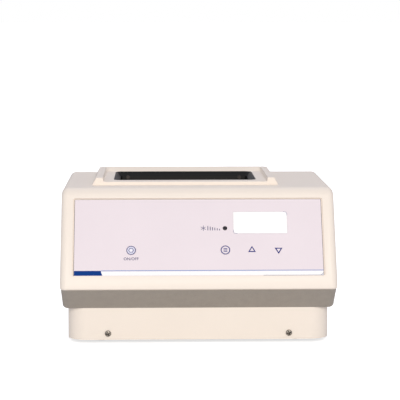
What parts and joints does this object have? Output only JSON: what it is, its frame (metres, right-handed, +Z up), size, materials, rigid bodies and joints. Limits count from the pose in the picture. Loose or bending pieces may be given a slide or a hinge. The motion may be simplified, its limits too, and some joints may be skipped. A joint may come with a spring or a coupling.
{
  "type": "dry block heater",
  "caption": "Bench dry block heater: plastic case with sloped key panel, raised collar round a heated well, undercut skirt and base.",
  "frame": {"origin": "on the floor, below the middle of the overall box", "axes": "+X to the right as seen from the panel, +Y to the back, +Z up"},
  "size_m": [0.295, 0.246, 0.173],
  "materials": {
    "cream_plastic": "fine satin moulded texture",
    "taupe_plastic": "fine satin moulded texture",
    "zinc_steel": "zinc plated sheet",
    "screw_steel": "dull plated steel",
    "foot_rubber": "soft matt rubber",
    "overlay_film": "fine grained printed film",
    "window_film": "clear pane over a pale backing",
    "module_plastic": "moulded display case",
    "lamp_lens": "dark tinted lens",
    "key_film": "fine grained printed film",
    "switch_plastic": "moulded switch body",
    "circuit_board": "green circuit board",
    "black_plastic": "black moulding",
    "black_aluminium": "black anodised",
    "bare_aluminium": "plain extruded",
    "foam": "closed cell foam",
    "ceramic": "white ceramic",
    "nylon": "natural nylon",
    "pin_brass": "plated contact pins",
    "fuse_glass": "glass cartridge fuse"
  },
  "bodies": {
    "instrument": {"upper_housing": "cream_plastic", "lower_skirt": "taupe_plastic", "base_shell": "cream_plastic", "chassis_pan": "zinc_steel", "base_screws": "screw_steel", "cover_screws": "screw_steel", "rubber_feet": "foot_rubber", "foot_screws": "screw_steel", "overlay_panel": "overlay_film", "display_window": "window_film", "display_module": "module_plastic", "cooling_lamp": "lamp_lens", "key_switches": "switch_plastic", "display_board": "circuit_board", "board_screws": "screw_steel", "well_rim": "black_plastic", "rim_screws": "screw_steel", "well_pan": "black_aluminium", "heating_plate": "black_aluminium", "well_insulation": "foam", "peltier_modules": "ceramic", "heat_sink": "bare_aluminium", "sink_posts": "nylon", "sink_screws": "screw_steel", "fan_frame": "black_plastic", "fan_screws": "screw_steel", "temperature_sensor": "zinc_steel", "thermal_cutout": "switch_plastic", "control_board": "circuit_board", "board_spacers": "nylon", "spacer_screws": "screw_steel", "power_supply": "zinc_steel", "inlet_socket": "black_plastic", "inlet_pins": "pin_brass", "inlet_screws": "screw_steel"},
    "power_key": {"power_key": "key_film"},
    "set_key": {"set_key": "key_film"},
    "up_key": {"up_key": "key_film"},
    "down_key": {"down_key": "key_film"},
    "fan_rotor": {"fan_rotor": "black_plastic"},
    "fuse_drawer": {"fuse_drawer": "black_plastic", "fuse": "fuse_glass"}
  },
  "joints": [
    {"name": "power_press", "type": "slide", "parent": "instrument", "child": "power_key", "axis": [0, 0.8746, -0.4848], "range_m": [0, 0.0005], "stiffness_N_per_m": 300},
    {"name": "set_press", "type": "slide", "parent": "instrument", "child": "set_key", "axis": [0, 0.8746, -0.4848], "range_m": [0, 0.0005], "stiffness_N_per_m": 300},
    {"name": "up_press", "type": "slide", "parent": "instrument", "child": "up_key", "axis": [0, 0.8746, -0.4848], "range_m": [0, 0.0005], "stiffness_N_per_m": 300},
    {"name": "down_press", "type": "slide", "parent": "instrument", "child": "down_key", "axis": [0, 0.8746, -0.4848], "range_m": [0, 0.0005], "stiffness_N_per_m": 300},
    {"name": "fan_spin", "type": "hinge", "parent": "instrument", "child": "fan_rotor", "pos_m": [-0.013, 0.02835, 0.0595], "axis": [0, 0, 1], "continuous": true},
    {"name": "drawer_slide", "type": "slide", "parent": "instrument", "child": "fuse_drawer", "axis": [0, 1, 0], "range_m": [0, 0.012]}
  ]
}
